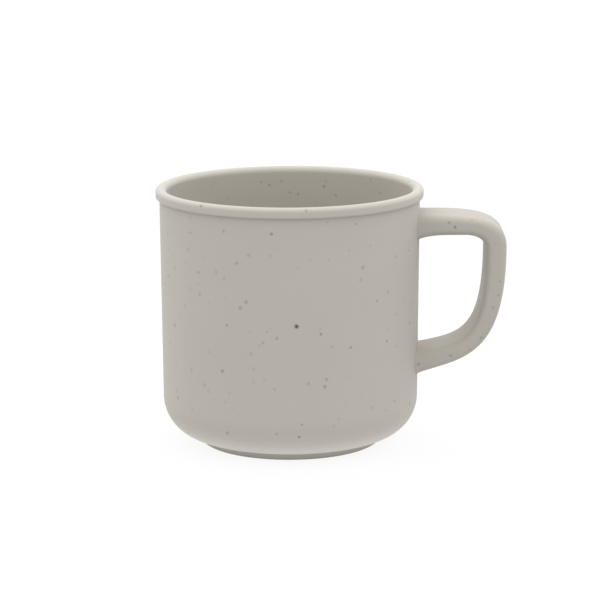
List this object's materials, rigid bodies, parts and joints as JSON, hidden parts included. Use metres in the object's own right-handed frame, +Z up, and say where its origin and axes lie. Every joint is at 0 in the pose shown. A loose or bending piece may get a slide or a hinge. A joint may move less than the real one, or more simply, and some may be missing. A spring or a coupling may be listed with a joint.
{
  "type": "silicone cup",
  "caption": "Soft silicone drinking cup with a rounded proud lip, a straight wall, a full rounded heel on a low foot ring and a D-shaped side handle.",
  "frame": {"origin": "on the table plane, under the middle of cup and handle together", "axes": "+Z up out of the cup's mouth, +X from the cup towards its handle, +Y completes a right-handed frame"},
  "size_m": [0.1046, 0.08, 0.0776],
  "materials": {
    "silicone": "matte warm grey silicone with sparse fine grey-brown flecks"
  },
  "bodies": {
    "root": {"rim_lip": "silicone", "side_wall": "silicone", "base_dish": "silicone", "foot_ring": "silicone", "handle": "silicone"}
  },
  "joints": []
}
